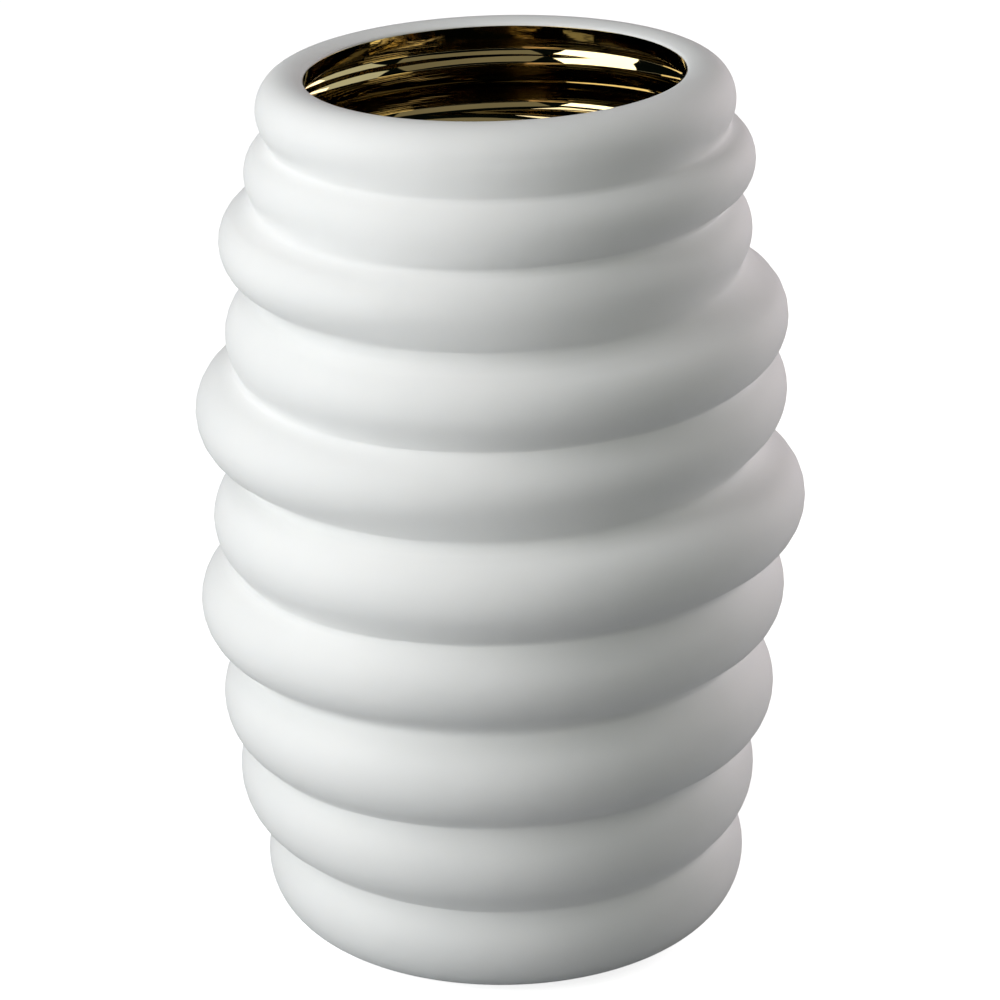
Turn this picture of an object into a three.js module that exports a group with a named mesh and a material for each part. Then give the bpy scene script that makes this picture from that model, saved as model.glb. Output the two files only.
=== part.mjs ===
// A porcelain vase, slip cast as one wall that bulges into ten fat rings, with a rolled lip,
// a ground foot, and a glossy gold coat over the whole inside.
//
// Millimetres, +Z up. The origin is the middle of the foot, on the surface the vase stands on.
// Seen from the front the eye is on the -Y side and +X is to the right.

import * as THREE from "three";

// ---------------------------------------------------------------- driving dimensions

// The rings from top to bottom. Each is a hoop of clay with an oval section:
//   height   how high the middle of its section is
//   radius   how far its outermost line is from the ring's own centre
//   out, up  half the width and half the height of the section
//   shift    where the ring's centre is, to the right and to the back of the vase's axis
//   lean     how many degrees the ring rises to the right and to the back
//   merge    how near it and the next ring down are, at the front, where they run together
const MERGE = 2; // the same nearness at the sides and the back
const RINGS = [
  { height: 288.5, radius: 78, out: 10.5, up: 11.5, shift: [0.5, -0.5], lean: [0.75, 0], merge: 16 },
  { height: 268, radius: 83.5, out: 10, up: 11, shift: [1.5, 0.5], lean: [1, 0.25], merge: 20 },
  { height: 245, radius: 87.5, out: 11.5, up: 12.5, shift: [-3.5, 0], lean: [0.75, 1.25], merge: 20 },
  { height: 214.5, radius: 93, out: 11.5, up: 13.5, shift: [3, -0.5], lean: [1.25, 1.25], merge: 14 },
  { height: 187.5, radius: 98.5, out: 15.5, up: 15.5, shift: [-2.5, 3], lean: [1.5, 1.25], merge: 18 },
  { height: 151.5, radius: 99, out: 15, up: 16, shift: [3, -2], lean: [1.5, -0.5], merge: 16 },
  { height: 120, radius: 98.5, out: 13.5, up: 15.5, shift: [-3, 0], lean: [0.75, -0.75], merge: 14 },
  { height: 85.5, radius: 93.5, out: 16.5, up: 18, shift: [-1.5, -1.5], lean: [0.5, -0.5], merge: 11 },
  { height: 56, radius: 88, out: 16.5, up: 19, shift: [-2.5, 0], lean: [-0.5, 1.25], merge: 11 },
  { height: 23.5, radius: 82, out: 23, up: 22.5, shift: [0, 0.5], lean: [0, 0], merge: MERGE },
];

const WALL = 5; // the cast wall, the same everywhere
const WEB = 0.3; // a ring's section ends at this share of its bulge, and slopes on as a web
const LIP_END = 120; // degrees above level, over the top, at which the rolled lip is cut off
const LIP_UNDER = 138; // the same for where the hollow inside it turns level, towards the cut

const FOOT_OUTER_RADIUS = 57;
const FOOT_INNER_RADIUS = 50;
const FOOT_RECESS = 2.5; // how far the underside inside the foot is off the ground
const FOOT_TUCK = 82; // degrees below level at which the lowest ring meets the foot

const COAT = 1; // the glazed and gilded inner skin
const COAT_GAP = 0.8; // keeps the coat's solid clear of the wall's
const COAT_EDGE = 1; // how far below the top of the lip's cut the coat's solid ends

const SEGMENTS = 40; // facets around the vase
const LIP_STEPS = 4; // points on the lip, from the top ring's widest line to the cut
const TUCK_STEPS = 4; // points on the curve down to the foot, and on the one down to the floor
const HALF_RING_STEPS = 3; // points from a ring's widest line to the valley beside it
const HALVINGS = 20; // of the gap between two rings, in the search for their valley

// ---------------------------------------------------------------- the rings' sections

const radians = THREE.MathUtils.degToRad;

// Where one ring's section stands in the upright plane at this azimuth.
function sectionAt(ring, azimuth) {
  const right = Math.cos(azimuth);
  const back = Math.sin(azimuth);
  const rise = right * Math.tan(radians(ring.lean[0])) + back * Math.tan(radians(ring.lean[1]));
  return {
    radius: ring.radius - ring.out + ring.shift[0] * right + ring.shift[1] * back,
    height: ring.height + ring.radius * rise,
    out: ring.out,
    up: ring.up,
    merge: MERGE + (ring.merge - MERGE) * Math.max(0, -back) ** 2,
  };
}

// The point of a section at this angle above level, this deep inside its surface.
function onSection(section, degrees, depth) {
  const angle = radians(degrees);
  return [
    section.radius + (section.out - depth) * Math.cos(angle),
    section.height + (section.up - depth) * Math.sin(angle),
  ];
}

// A run of such points, both ends included.
function arc(section, from, to, steps, depth) {
  const points = [];
  for (let step = 0; step <= steps; step += 1) {
    points.push(onSection(section, from + ((to - from) * step) / steps, depth));
  }
  return points;
}

// How far the outside of a section is from the vase's axis at this height. Past the end of
// its oval the section goes on as a sloping web, so that neighbours meet even if they lean apart.
function reach(section, height) {
  const level = Math.abs(height - section.height) / section.up;
  const ovalEnd = Math.sqrt(1 - WEB * WEB);
  const bulge = level < ovalEnd ? Math.sqrt(1 - level * level) : WEB + ovalEnd - level;
  return section.radius + section.out * bulge;
}

// The same for two neighbours together: the further one, with the crease between them filled.
function outside(lower, upper, height) {
  const reaches = [reach(lower, height), reach(upper, height)];
  const apart = Math.abs(reaches[0] - reaches[1]);
  const nearness = Math.max(0, 1 - apart / upper.merge);
  return Math.max(...reaches) + (nearness ** 2 * upper.merge) / 4;
}

// The valley between two neighbouring sections: the height at which they reach equally far.
function valley(lower, upper) {
  let low = lower.height;
  let high = upper.height;
  for (let halving = 0; halving < HALVINGS; halving += 1) {
    const middle = (low + high) / 2;
    if (reach(lower, middle) > reach(upper, middle)) {
      low = middle;
    } else {
      high = middle;
    }
  }
  return [outside(lower, upper, low), low];
}

// ---------------------------------------------------------------- profiles, from the ground up

// The outside of the wall, from the lowest ring's widest line to the top ring's.
function outerWall(sections) {
  const points = [];
  const rising = Array.from({ length: HALF_RING_STEPS }, (_, step) => step);
  const falling = rising.map((step) => HALF_RING_STEPS - 1 - step).slice(0, -1);
  for (let ring = sections.length - 1; ring > 0; ring -= 1) {
    const lower = sections[ring];
    const upper = sections[ring - 1];
    const [valleyRadius, valleyHeight] = valley(lower, upper);
    const addHalfRing = (section, steps) => {
      for (const step of steps) {
        const share = Math.sin(radians((90 * step) / HALF_RING_STEPS));
        const height = section.height + (valleyHeight - section.height) * share;
        points.push([outside(lower, upper, height), height]);
      }
    };
    addHalfRing(lower, rising);
    points.push([valleyRadius, valleyHeight]);
    addHalfRing(upper, falling);
  }
  points.push(onSection(sections[0], 0, 0));
  return points;
}

// The inside of the wall this deep below the outside, from the floor up to the top ring's
// widest line: a hollow behind each ring and a ridge behind each valley.
function innerWall(sections, depth) {
  const points = arc(sections.at(-1), -90, 0, TUCK_STEPS, depth);
  for (let ring = sections.length - 1; ring > 0; ring -= 1) {
    const [valleyRadius, valleyHeight] = valley(sections[ring], sections[ring - 1]);
    points.push([valleyRadius - depth, valleyHeight]);
    points.push(onSection(sections[ring - 1], 0, depth));
  }
  return points;
}

// The hollow of the rolled lip from the top ring's widest line, this deep below the outside, and
// on from there: level along the lip's underside to its upright cut.
function lipInside(top, depth) {
  const hollow = arc(top, 0, LIP_UNDER, LIP_STEPS, depth).slice(1);
  const [cutRadius] = onSection(top, LIP_END, 0);
  return [...hollow, [cutRadius - (depth - WALL), hollow.at(-1)[1]]];
}

function bodyProfile(azimuth) {
  const sections = RINGS.map((ring) => sectionAt(ring, azimuth));
  const top = sections[0];
  const inside = [...innerWall(sections, WALL), ...lipInside(top, WALL)];
  const floorHeight = inside[0][1];
  return [
    [0, FOOT_RECESS],
    [FOOT_INNER_RADIUS, FOOT_RECESS],
    [FOOT_INNER_RADIUS, 0],
    [FOOT_OUTER_RADIUS, 0],
    ...arc(sections.at(-1), -FOOT_TUCK, 0, TUCK_STEPS, 0).slice(0, -1),
    ...outerWall(sections),
    ...arc(top, 0, LIP_END, LIP_STEPS, 0).slice(1),
    ...inside.toReversed(),
    [0, floorHeight],
  ];
}

// One side of the coat, this far off the wall: up the inside and up the lip's cut.
function coatSide(sections, gap) {
  const top = sections[0];
  const [cutRadius, cutHeight] = onSection(top, LIP_END, 0);
  const depth = WALL + gap;
  return [
    ...innerWall(sections, depth),
    ...lipInside(top, depth),
    [cutRadius - gap, cutHeight - COAT_EDGE],
  ];
}

function coatProfile(azimuth) {
  const sections = RINGS.map((ring) => sectionAt(ring, azimuth));
  const back = coatSide(sections, COAT_GAP);
  const face = coatSide(sections, COAT_GAP + COAT);
  return [[0, back[0][1]], ...back, ...face.toReversed(), [0, face[0][1]]];
}

// ---------------------------------------------------------------- solids

// A lathe whose profile changes as it turns, so that the rings can shift and lean.
function unevenLathe(profileAt) {
  const first = profileAt(0).map(([radius, height]) => new THREE.Vector2(radius, height));
  const lathe = new THREE.LatheGeometry(first, SEGMENTS);
  const position = lathe.attributes.position;
  for (let column = 0; column <= SEGMENTS; column += 1) {
    const azimuth = ((column % SEGMENTS) * 2 * Math.PI) / SEGMENTS;
    profileAt(azimuth).forEach(([radius, height], row) => {
      const vertex = column * first.length + row;
      position.setXYZ(vertex, radius * Math.cos(azimuth), radius * Math.sin(azimuth), height);
    });
  }
  lathe.computeVertexNormals();
  return lathe;
}

function namedMesh(name, geometry, material) {
  const mesh = new THREE.Mesh(geometry, material);
  mesh.name = name;
  return mesh;
}

const bisquePorcelain = new THREE.MeshStandardMaterial({
  color: 0xe4e5e3,
  roughness: 0.6,
  metalness: 0,
});

const goldLustre = new THREE.MeshStandardMaterial({
  color: 0xb08a3e,
  roughness: 0.12,
  metalness: 1,
});

const group = new THREE.Group();
group.add(namedMesh("porcelain_body", unevenLathe(bodyProfile), bisquePorcelain));
group.add(namedMesh("gold_lining", unevenLathe(coatProfile), goldLustre));

export default group;
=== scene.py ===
"""A matt white porcelain vase of ten stacked rings with a gold-lined inside, on a pale floor.

Everything is in the CAD's frame: metres, +Z up, the middle of the foot at the origin, the
front towards -Y. The vase's own dimensions are kept in millimetres and degrees.
"""

import math
from collections import namedtuple

import bpy
import numpy as np
from mathutils import Matrix, Vector


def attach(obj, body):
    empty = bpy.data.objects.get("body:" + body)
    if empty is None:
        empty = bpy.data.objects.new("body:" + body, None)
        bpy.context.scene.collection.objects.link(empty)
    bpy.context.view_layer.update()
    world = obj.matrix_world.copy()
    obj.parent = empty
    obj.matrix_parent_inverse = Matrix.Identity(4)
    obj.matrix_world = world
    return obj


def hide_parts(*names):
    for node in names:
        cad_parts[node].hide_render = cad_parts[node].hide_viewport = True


MM = 0.001

# ---------------------------------------------------------------- dimensions

MERGE = 2  # how near two rings' surfaces are, at the sides and the back, where they run together

# The rings from top to bottom: how high the middle of the section is, how far the outermost
# line is from the ring's own centre, half the width and half the height of the oval section,
# where the centre is (right, back), the degrees that the ring rises (right, back), and the
# nearness at which it and the next ring down run together at the front.
Ring = namedtuple("Ring", "height radius out up shift lean merge")
RINGS = (
    Ring(288.5, 78, 10.5, 11.5, (0.5, -0.5), (0.75, 0), 16),
    Ring(268, 83.5, 10, 11, (1.5, 0.5), (1, 0.25), 20),
    Ring(245, 87.5, 11.5, 12.5, (-3.5, 0), (0.75, 1.25), 20),
    Ring(214.5, 93, 11.5, 13.5, (3, -0.5), (1.25, 1.25), 14),
    Ring(187.5, 98.5, 15.5, 15.5, (-2.5, 3), (1.5, 1.25), 18),
    Ring(151.5, 99, 15, 16, (3, -2), (1.5, -0.5), 16),
    Ring(120, 98.5, 13.5, 15.5, (-3, 0), (0.75, -0.75), 14),
    Ring(85.5, 93.5, 16.5, 18, (-1.5, -1.5), (0.5, -0.5), 11),
    Ring(56, 88, 16.5, 19, (-2.5, 0), (-0.5, 1.25), 11),
    Ring(23.5, 82, 23, 22.5, (0, 0.5), (0, 0), MERGE),
)

WALL = 5  # thickness of the cast wall
WEB = 0.3  # the share of its bulge at which a ring's oval section turns into a sloping web
LIP_END = 120  # degrees above level, over the top, at which the rolled lip is cut off
LIP_UNDER = 138  # the same for where the hollow inside it turns level, towards the cut
LIP_EASE = 5  # degrees before the cut at which the rolled lip starts to round into it
LIP_EDGE = 0.6  # rounding of the cut's two edges

FOOT_OUTER_RADIUS = 57
FOOT_INNER_RADIUS = 50
FOOT_RECESS = 2.5
FOOT_EDGE = 0.8  # rounding of the foot's two edges
FOOT_RIM = 0.2  # share of that rounding at which the foot's outermost line is
FOOT_TUCK = 82  # degrees below level at which the lowest ring meets the foot

COAT_BACK = 0.1  # how far the back of the gold coat is from the wall
COAT = 0.2  # thickness of the gold coat

AROUND = 176  # faces round the vase
OUTER_ROWS = 9  # faces from a ring's widest line to a valley, closer together at the valley
GOLD_ROWS = 19  # the same for the gold, evenly spaced
HIDDEN_ROWS = 7  # the same for the surfaces between the wall and the gold
CURVE_ROWS = 20  # faces up the lowest ring from the foot, and over the rolled lip
HOLLOW_ROWS = 16  # faces under the rolled lip inside, and from the inside wall to the floor
EDGE_ROWS = 6  # lines round a rounded edge
CUT_SHARES = (0, 0.02, 0.5, 0.85)  # where the lines are down the lip's cut
MIDDLE_RADII = (15, 30, 45)  # of the lines on the flat floor and on the flat underside

HALVINGS = 24  # of the gap between two rings, in the search for their valley
DEPTH_SAMPLES = 33  # heights near a point that are tried for the outside it is nearest to

# ---------------------------------------------------------------- the rings' sections

AZIMUTH = np.linspace(0, 2 * math.pi, AROUND, endpoint=False)
RIGHT, BACK = np.cos(AZIMUTH), np.sin(AZIMUTH)


class Section:
    """One ring's oval section in each of the upright planes round the vase."""

    def __init__(self, ring):
        to_right, to_back = (math.tan(math.radians(degrees)) for degrees in ring.lean)
        self.radius = ring.radius - ring.out + ring.shift[0] * RIGHT + ring.shift[1] * BACK
        self.height = ring.height + ring.radius * (to_right * RIGHT + to_back * BACK)
        self.out, self.up = ring.out, ring.up
        self.merge = MERGE + (ring.merge - MERGE) * np.clip(-BACK, 0, 1) ** 2

    def point(self, degrees, depth=0.0):
        """Radius and height at this angle above level, this deep inside the surface."""
        angle = math.radians(degrees)
        radius = self.radius + (self.out - depth) * math.cos(angle)
        return radius, self.height + (self.up - depth) * math.sin(angle)

    def reach(self, height):
        """How far the surface is from the vase's axis at this height."""
        level = np.abs(height - self.height) / self.up
        oval_end = math.sqrt(1 - WEB**2)
        oval = np.sqrt(np.clip(1 - level**2, 0, 1))
        return self.radius + self.out * np.where(level < oval_end, oval, WEB + oval_end - level)


def outside(sections, height):
    """How far the outside is from the axis: the furthest ring, with the creases filled a little."""
    furthest = sections[0].reach(height)
    for upper, lower in zip(sections, sections[1:]):
        reach = lower.reach(height)
        nearness = np.clip(1 - np.abs(furthest - reach) / upper.merge, 0, None)
        furthest = np.maximum(furthest, reach) + nearness**2 * upper.merge / 4
    return furthest


def wall_radius(sections, height, depth=0.0):
    """The radius at this height of a surface that is this far from the outside everywhere."""
    shares = np.linspace(-1, 1, DEPTH_SAMPLES) if depth else (0.0,)
    drops = (depth * math.sqrt(1 - share**2) for share in shares)
    radii = [outside(sections, height + depth * share) - drop for share, drop in zip(shares, drops)]
    return np.min(radii, axis=0)


def valley(lower, upper):
    """The height at which two neighbouring sections reach equally far."""
    low, high = lower.height, upper.height
    for _ in range(HALVINGS):
        middle = (low + high) / 2
        below = lower.reach(middle) > upper.reach(middle)
        low, high = np.where(below, middle, low), np.where(below, high, middle)
    return low


# ---------------------------------------------------------------- profiles

# A row is one closed line round the vase: its radius and its height, an array of each.


def level_row(radius, height):
    """A level circle round the axis."""
    return np.full(AROUND, float(radius)), np.full(AROUND, float(height))


def arc_rows(section, start, end, steps, depth=0.0):
    """Rows along a ring's oval section, between two angles above level."""
    return [section.point(degrees, depth) for degrees in np.linspace(start, end, steps + 1)]


def wall_rows(sections, shares, depth=0.0):
    """Rows up the wall from the lowest ring's widest line to the top ring's. The shares, from
    0 to 1, place them between each widest line and the valley next to it."""
    heights = []
    for lower, upper in zip(sections[:0:-1], sections[-2::-1]):
        crease = valley(lower, upper)
        heights += [lower.height + (crease - lower.height) * share for share in shares[:-1]]
        heights += [upper.height + (crease - upper.height) * share for share in shares[:0:-1]]
    heights.append(sections[0].height)
    return [(wall_radius(sections, height, depth), height) for height in heights]


def eased(before, corner, after):
    """Rows round a corner, from one point to the other."""
    rows = []
    for t in np.linspace(0, 1, EDGE_ROWS):
        rows.append(tuple((1 - t) ** 2 * before + 2 * t * (1 - t) * corner + t**2 * after))
    return rows


def lip_rows(top, proud=0.0):
    """Down the lip's upright cut face and back under it, this far proud of the porcelain."""
    outer, inner = np.array(top.point(LIP_END)), np.array(top.point(LIP_UNDER, WALL + proud))
    inwards, down = np.array((-1, 0))[:, None], np.array((0, -1))[:, None]
    face_top = outer + inwards * proud + down * LIP_EDGE
    foot = np.array((face_top[0], inner[1]))
    rows = [tuple(face_top + (foot - face_top) * share) for share in CUT_SHARES]
    return rows + eased(foot - down * LIP_EDGE, foot, foot - inwards * LIP_EDGE) + [tuple(inner)]


def inside_rows(sections, depth, rows_per_half_ring):
    """Down the inside at this depth, from the lip's end to the middle of the floor."""
    shares = np.linspace(0, 1, rows_per_half_ring + 1)
    lip = arc_rows(sections[0], LIP_UNDER, 0, HOLLOW_ROWS, depth)[1:-1]
    wall = wall_rows(sections, shares, depth)[::-1]
    tuck = arc_rows(sections[-1], 0, -90, HOLLOW_ROWS, depth)[1:]
    floor_height = tuck[-1][1][0]
    floor = [level_row(radius, floor_height) for radius in MIDDLE_RADII[::-1]]
    return lip + wall + tuck + floor


def foot_rows():
    """The underside, from the middle out: a recess and the flat ring that the vase stands on."""
    rows = [level_row(radius, FOOT_RECESS) for radius in MIDDLE_RADII]
    rows.append(level_row(FOOT_INNER_RADIUS - FOOT_EDGE, FOOT_RECESS))
    rows.append(level_row(FOOT_INNER_RADIUS, FOOT_RECESS - FOOT_EDGE))
    rows.append(level_row(FOOT_INNER_RADIUS, FOOT_EDGE))
    rows.append(level_row(FOOT_INNER_RADIUS + FOOT_EDGE, 0))
    rows.append(level_row(FOOT_OUTER_RADIUS - FOOT_EDGE, 0))
    rows.append(level_row(FOOT_OUTER_RADIUS, FOOT_RIM * FOOT_EDGE))
    return rows


def body_rows(sections):
    """The whole skin of the porcelain, from the middle of the underside to that of the floor."""
    outer_shares = np.sin(np.linspace(0, math.pi / 2, OUTER_ROWS + 1))
    rows = foot_rows() + arc_rows(sections[-1], -FOOT_TUCK, 0, CURVE_ROWS)[:-1]
    rows += wall_rows(sections, outer_shares)
    top = sections[0]
    rolled = arc_rows(top, 0, LIP_END - LIP_EASE, CURVE_ROWS)[1:]
    cut = lip_rows(top)
    edge = eased(*(np.array(row) for row in (rolled[-1], top.point(LIP_END), cut[0])))
    rows += rolled + edge[1:-1]
    return rows + cut + inside_rows(sections, WALL, HIDDEN_ROWS)


def lining_rows(sections):
    """The whole skin of the gold coat: up its back, over the lip's cut and down its face."""
    top = sections[0]
    back = lip_rows(top, COAT_BACK) + inside_rows(sections, WALL + COAT_BACK, HIDDEN_ROWS)
    depth = COAT_BACK + COAT
    face = lip_rows(top, depth) + inside_rows(sections, WALL + depth, GOLD_ROWS)
    return back[::-1] + face


def closed_skin(name, rows, material):
    """A mesh through the rows, closed at the middle of the first one and of the last."""
    radius, height = (np.array(part) * MM for part in zip(*rows))
    points = np.stack([radius * RIGHT, radius * BACK, height], axis=-1).reshape(-1, 3)
    ends = [(0, 0, height[0, 0]), (0, 0, height[-1, 0])]
    start_middle, end_middle = len(points), len(points) + 1
    following = [(column + 1) % AROUND for column in range(AROUND)]
    faces = []
    for first in range(0, (len(rows) - 1) * AROUND, AROUND):
        above = first + AROUND
        for column, after in enumerate(following):
            faces.append((first + column, first + after, above + after, above + column))
    last = (len(rows) - 1) * AROUND
    for column, after in enumerate(following):
        faces.append((start_middle, after, column))
        faces.append((end_middle, last + column, last + after))
    mesh = bpy.data.meshes.new(name)
    mesh.from_pydata(points.tolist() + ends, [], faces)
    mesh.shade_smooth()
    mesh.materials.append(material)
    return add_object(name, mesh)


def add_object(name, data):
    made = bpy.data.objects.new(name, data)
    bpy.context.scene.collection.objects.link(made)
    return made


# ---------------------------------------------------------------- materials


class Material:
    """A material and short ways to add the nodes used here."""

    def __init__(self, name):
        self.material = bpy.data.materials.new(name)
        self.material.use_nodes = True
        self.tree = self.material.node_tree
        self.shader = self.tree.nodes["Principled BSDF"]
        self.place = self.add("TexCoord").outputs["Object"]

    def add(self, kind):
        return self.tree.nodes.new("ShaderNode" + kind)

    def link(self, output, target):
        self.tree.links.new(output, target)

    def set(self, **values):
        """Sets the shader's own sockets, which are named with _ for a space."""
        for name, value in values.items():
            self.shader.inputs[name.replace("_", " ")].default_value = value

    def noise(self, scale, detail, stretch=(1, 1, 1)):
        mapping, texture = self.add("Mapping"), self.add("TexNoise")
        mapping.inputs["Scale"].default_value = stretch
        texture.inputs["Scale"].default_value = scale
        texture.inputs["Detail"].default_value = detail
        self.link(self.place, mapping.inputs["Vector"])
        self.link(mapping.outputs["Vector"], texture.inputs["Vector"])
        return texture.outputs["Fac"]

    def colours(self, value, low, high):
        """Runs from one colour to the other over the middle of the value's range."""
        ramp = self.add("ValToRGB")
        for element, position, colour in zip(ramp.color_ramp.elements, (0.3, 0.7), (low, high)):
            element.position = position
            element.color = (*colour, 1)
        self.link(value, ramp.inputs["Fac"])
        self.link(ramp.outputs["Color"], self.shader.inputs["Base Color"])

    def roughness(self, value, low, high):
        spread = self.add("MapRange")
        spread.inputs["To Min"].default_value = low
        spread.inputs["To Max"].default_value = high
        self.link(value, spread.inputs["Value"])
        self.link(spread.outputs["Result"], self.shader.inputs["Roughness"])

    def bumps(self, *layers):
        """Each layer is a noise and the height in millimetres that it stands for."""
        normal = None
        for value, height in layers:
            bump = self.add("Bump")
            bump.inputs["Distance"].default_value = height * MM
            self.link(value, bump.inputs["Height"])
            if normal:
                self.link(normal, bump.inputs["Normal"])
            normal = bump.outputs["Normal"]
        self.link(normal, self.shader.inputs["Normal"])


def bisque_porcelain():
    """Unglazed fired porcelain: matt, very fine grained and slightly translucent."""
    bisque = Material("bisque_porcelain")
    bisque.colours(bisque.noise(22, 3), (0.79, 0.795, 0.79), (0.82, 0.822, 0.815))
    grain = bisque.noise(2200, 3)
    bisque.roughness(grain, 0.55, 0.7)
    bisque.bumps((bisque.noise(45, 2), 0.15), (grain, 0.012))
    bisque.set(Specular_IOR_Level=0.3, Subsurface_Weight=0.1, Subsurface_Scale=0.0015)
    bisque.set(Subsurface_Radius=(1.0, 0.9, 0.75))
    return bisque.material


def gold_lustre():
    """Bright gold fired on glaze: a mirror with slow waves, drawn out round the vase."""
    gold = Material("gold_lustre")
    gold.colours(gold.noise(30, 3, (1, 1, 3)), (0.36, 0.29, 0.15), (0.44, 0.35, 0.185))
    gold.roughness(gold.noise(160, 3), 0.02, 0.05)
    gold.bumps((gold.noise(26, 2, (1, 1, 2.5)), 0.06), (gold.noise(140, 2, (1, 1, 4)), 0.01))
    gold.set(Metallic=1)
    return gold.material


def pale_floor():
    """Looks pale and evenly lit, and throws back only as much light as a grey studio floor."""
    floor = Material("pale_floor")
    camera_ray = floor.add("LightPath").outputs["Is Camera Ray"]
    floor.colours(camera_ray, FLOOR_BOUNCE, FLOOR_COLOUR)
    glow = floor.add("MapRange")
    glow.inputs["To Max"].default_value = FLOOR_GLOW
    floor.link(camera_ray, glow.inputs["Value"])
    floor.link(glow.outputs["Result"], floor.shader.inputs["Emission Strength"])
    floor.set(Emission_Color=(1, 1, 1, 1), Roughness=0.9, Specular_IOR_Level=0.1)
    return floor.material


# ---------------------------------------------------------------- studio

# Metres, degrees and watts.

FLOOR_RADIUS = 5.0
FLOOR_SIDES = 128
FLOOR_COLOUR = (0.85, 0.85, 0.85)
FLOOR_BOUNCE = (0.36, 0.37, 0.38)  # the floor's colour for all light but what the camera sees
FLOOR_GLOW = 0.8  # what lifts the floor to white, for the camera only

CAMERA_AIM = Vector((-0.0001, 0, 0.1501))
CAMERA_DISTANCE = 1.332
CAMERA_ELEVATION = 20.86
CAMERA_ROLL = 0.94
CAMERA_LENS = 142.6  # millimetres, as is the sensor
CAMERA_SENSOR = 36

# Azimuth is degrees from the front, positive to the right as the camera sees it.
Softbox = namedtuple("Softbox", "name azimuth elevation distance size watts colour")
SOFTBOXES = (
    Softbox("key", -60, 19, 1.8, (1.45, 1.15), 29, (0.98, 1, 1)),
    Softbox("key_high", -60, 60, 1.8, (0.95, 0.8), 7.5, (1, 0.98, 1)),
    Softbox("rim", 126, 11, 1.8, (1.3, 0.9), 14.5, (1, 0.86, 0.9)),
    Softbox("card", 95, 19, 1.8, (1.8, 1.3), 8.5, (0.9, 0.97, 0.95)),
    Softbox("front", 15, 36, 1.8, (2.4, 1.0), 2.8, (1, 0.97, 0.8)),
)
SOFTBOX_AIM = Vector((0, 0, 0.17))
AMBIENT = (0.003, 0.006, 0.006)


def direction(azimuth, elevation):
    """The way from the vase to something at this azimuth from the front and this elevation."""
    turn, lift = math.radians(azimuth), math.radians(elevation)
    across = math.cos(lift)
    return Vector((math.sin(turn) * across, -math.cos(turn) * across, math.sin(lift)))


def make_floor():
    """A wide disc that the vase stands on."""
    turns = np.linspace(0, 2 * math.pi, FLOOR_SIDES, endpoint=False)
    rim = [(FLOOR_RADIUS * math.cos(turn), FLOOR_RADIUS * math.sin(turn), 0) for turn in turns]
    mesh = bpy.data.meshes.new("floor")
    mesh.from_pydata(rim, [], [range(len(rim))])
    mesh.materials.append(pale_floor())
    add_object("floor", mesh)


def make_softbox(softbox):
    """A rectangular area light that faces the vase and that the camera doesn't see."""
    light = bpy.data.lights.new(softbox.name, "AREA")
    light.shape = "RECTANGLE"
    light.size, light.size_y = softbox.size
    light.energy = softbox.watts
    light.color = softbox.colour
    lamp = add_object(softbox.name, light)
    way = direction(softbox.azimuth, softbox.elevation)
    facing = way.to_track_quat("Z", "Y").to_matrix().to_4x4()
    lamp.matrix_world = Matrix.Translation(SOFTBOX_AIM + way * softbox.distance) @ facing
    lamp.visible_camera = False


def make_world():
    """A trace of light from all round, and white where the camera looks past the floor."""
    world = bpy.data.worlds.new("studio")
    world.use_nodes = True
    nodes, links = world.node_tree.nodes, world.node_tree.links
    ambient = nodes["Background"]
    ambient.inputs["Color"].default_value = (*AMBIENT, 1)
    white = nodes.new("ShaderNodeBackground")
    white.inputs["Color"].default_value = (1, 1, 1, 1)
    mix = nodes.new("ShaderNodeMixShader")
    links.new(nodes.new("ShaderNodeLightPath").outputs["Is Camera Ray"], mix.inputs["Fac"])
    links.new(ambient.outputs["Background"], mix.inputs[1])
    links.new(white.outputs["Background"], mix.inputs[2])
    links.new(mix.outputs["Shader"], nodes["World Output"].inputs["Surface"])
    bpy.context.scene.world = world


def make_camera():
    camera = bpy.data.cameras.new("camera")
    camera.sensor_width = CAMERA_SENSOR
    camera.lens = CAMERA_LENS
    way = direction(0, CAMERA_ELEVATION)
    facing = way.to_track_quat("Z", "Y").to_matrix().to_4x4()
    roll = Matrix.Rotation(math.radians(-CAMERA_ROLL), 4, "Z")
    holder = add_object("camera", camera)
    holder.matrix_world = Matrix.Translation(CAMERA_AIM + way * CAMERA_DISTANCE) @ facing @ roll
    bpy.context.scene.camera = holder


# ---------------------------------------------------------------- the scene

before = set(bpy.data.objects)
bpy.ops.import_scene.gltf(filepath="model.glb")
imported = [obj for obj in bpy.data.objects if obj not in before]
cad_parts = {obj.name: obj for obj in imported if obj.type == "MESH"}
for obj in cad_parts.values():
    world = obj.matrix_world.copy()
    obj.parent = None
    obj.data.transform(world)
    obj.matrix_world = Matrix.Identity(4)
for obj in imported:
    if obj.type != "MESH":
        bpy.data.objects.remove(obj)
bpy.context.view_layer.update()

sections = [Section(ring) for ring in RINGS]

shell = closed_skin("porcelain_shell", body_rows(sections), bisque_porcelain())
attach(shell, "root")
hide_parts("porcelain_body")

lining = closed_skin("gold_lustre_lining", lining_rows(sections), gold_lustre())
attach(lining, "root")
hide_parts("gold_lining")

make_floor()
for softbox in SOFTBOXES:
    make_softbox(softbox)
make_world()
make_camera()
bpy.context.scene.view_settings.view_transform = "Standard"
